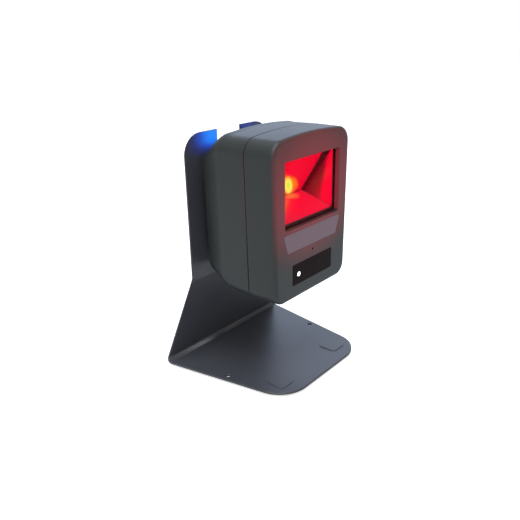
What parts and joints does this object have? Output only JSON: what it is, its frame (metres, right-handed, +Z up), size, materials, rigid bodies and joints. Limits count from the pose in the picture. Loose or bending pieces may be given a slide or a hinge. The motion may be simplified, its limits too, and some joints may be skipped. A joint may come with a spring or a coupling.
{
  "type": "hands-free barcode scanner on a stand",
  "caption": "Counter-top omnidirectional barcode scanner: a tilting scan head with a red window, friction-hinged to a bent sheet-steel stand.",
  "frame": {"origin": "middle of the stand's footprint, on the surface that the rubber feet rest on", "axes": "+Z up, -Y towards the side that the scan window faces, +X to the viewer's right when facing the window"},
  "size_m": [0.149, 0.119, 0.2049],
  "materials": {
    "stand_paint": "fine-textured semi-gloss black powder coat",
    "rubber_black": "matt",
    "zinc_steel": "zinc plated",
    "black_steel": "black oxide",
    "spring_bronze": "satin",
    "shell_plastic": "fine spark-eroded texture, charcoal",
    "window_red": "polished red filter",
    "plate_mauve": "printed film, plain",
    "plate_black": "printed film, plain",
    "lens_white": "lit white light pipe",
    "led_clear": "clear epoxy",
    "board_green": "solder mask",
    "black_parts": "moulded",
    "light_blue": "lit blue light pipe",
    "chassis_black": "moulded",
    "mirror_silver": "first-surface mirror under red light",
    "brass_barrel": "turned",
    "polished_alloy": "diamond turned",
    "motor_steel": "satin",
    "ferrite": "sintered magnet",
    "copper": "enamelled windings",
    "ribbon_white": "flat cable"
  },
  "bodies": {
    "stand": {"stand_plate": "stand_paint", "front_feet": "rubber_black", "rear_feet": "rubber_black", "tilt_bracket": "zinc_steel", "bracket_screws": "black_steel", "bracket_nuts": "zinc_steel"},
    "head": {"hinge_pin": "zinc_steel", "friction_washers": "spring_bronze", "pin_clips": "black_steel", "front_housing": "shell_plastic", "rear_cover": "shell_plastic", "housing_screws": "black_steel", "scan_window": "window_red", "window_gasket": "rubber_black", "name_plate": "plate_mauve", "data_plate": "plate_black", "status_lens": "lens_white", "status_led": "led_clear", "indicator_board": "board_green", "sounder": "black_parts", "read_light": "light_blue", "read_leds": "led_clear", "read_led_board": "board_green", "optics_chassis": "chassis_black", "chassis_screws": "black_steel", "fold_mirror": "mirror_silver", "floor_mirror": "mirror_silver", "left_mirror": "mirror_silver", "right_mirror": "mirror_silver", "collector_mirror": "polished_alloy", "laser_module": "brass_barrel", "laser_board": "board_green", "photodiode": "black_parts", "motor_stator": "copper", "motor_bearing": "spring_bronze", "motor_board": "board_green", "main_board": "board_green", "board_parts": "black_parts", "board_screws": "black_steel", "interface_jack": "black_parts", "ribbon_cable": "ribbon_white", "button_switch": "black_parts", "button_board": "board_green"},
    "scan_rotor": {"polygon_mirror": "polished_alloy", "rotor_cup": "motor_steel", "rotor_magnet": "ferrite", "motor_shaft": "zinc_steel", "shaft_clip": "black_steel"},
    "button": {"tone_button": "shell_plastic"}
  },
  "joints": [
    {"name": "head_tilt", "type": "hinge", "parent": "stand", "child": "head", "pos_m": [0, 0.02895, 0.106], "axis": [1, 0, 0], "range_deg": [-3, 20]},
    {"name": "polygon_spin", "type": "hinge", "parent": "head", "child": "scan_rotor", "pos_m": [-0.024, -0.01955, 0.1465], "axis": [0, 0, 1], "continuous": true},
    {"name": "tone_press", "type": "slide", "parent": "head", "child": "button", "axis": [0, 0, 1], "range_m": [0, 0.0008], "stiffness_N_per_m": 400, "springref_m": -0.002}
  ]
}
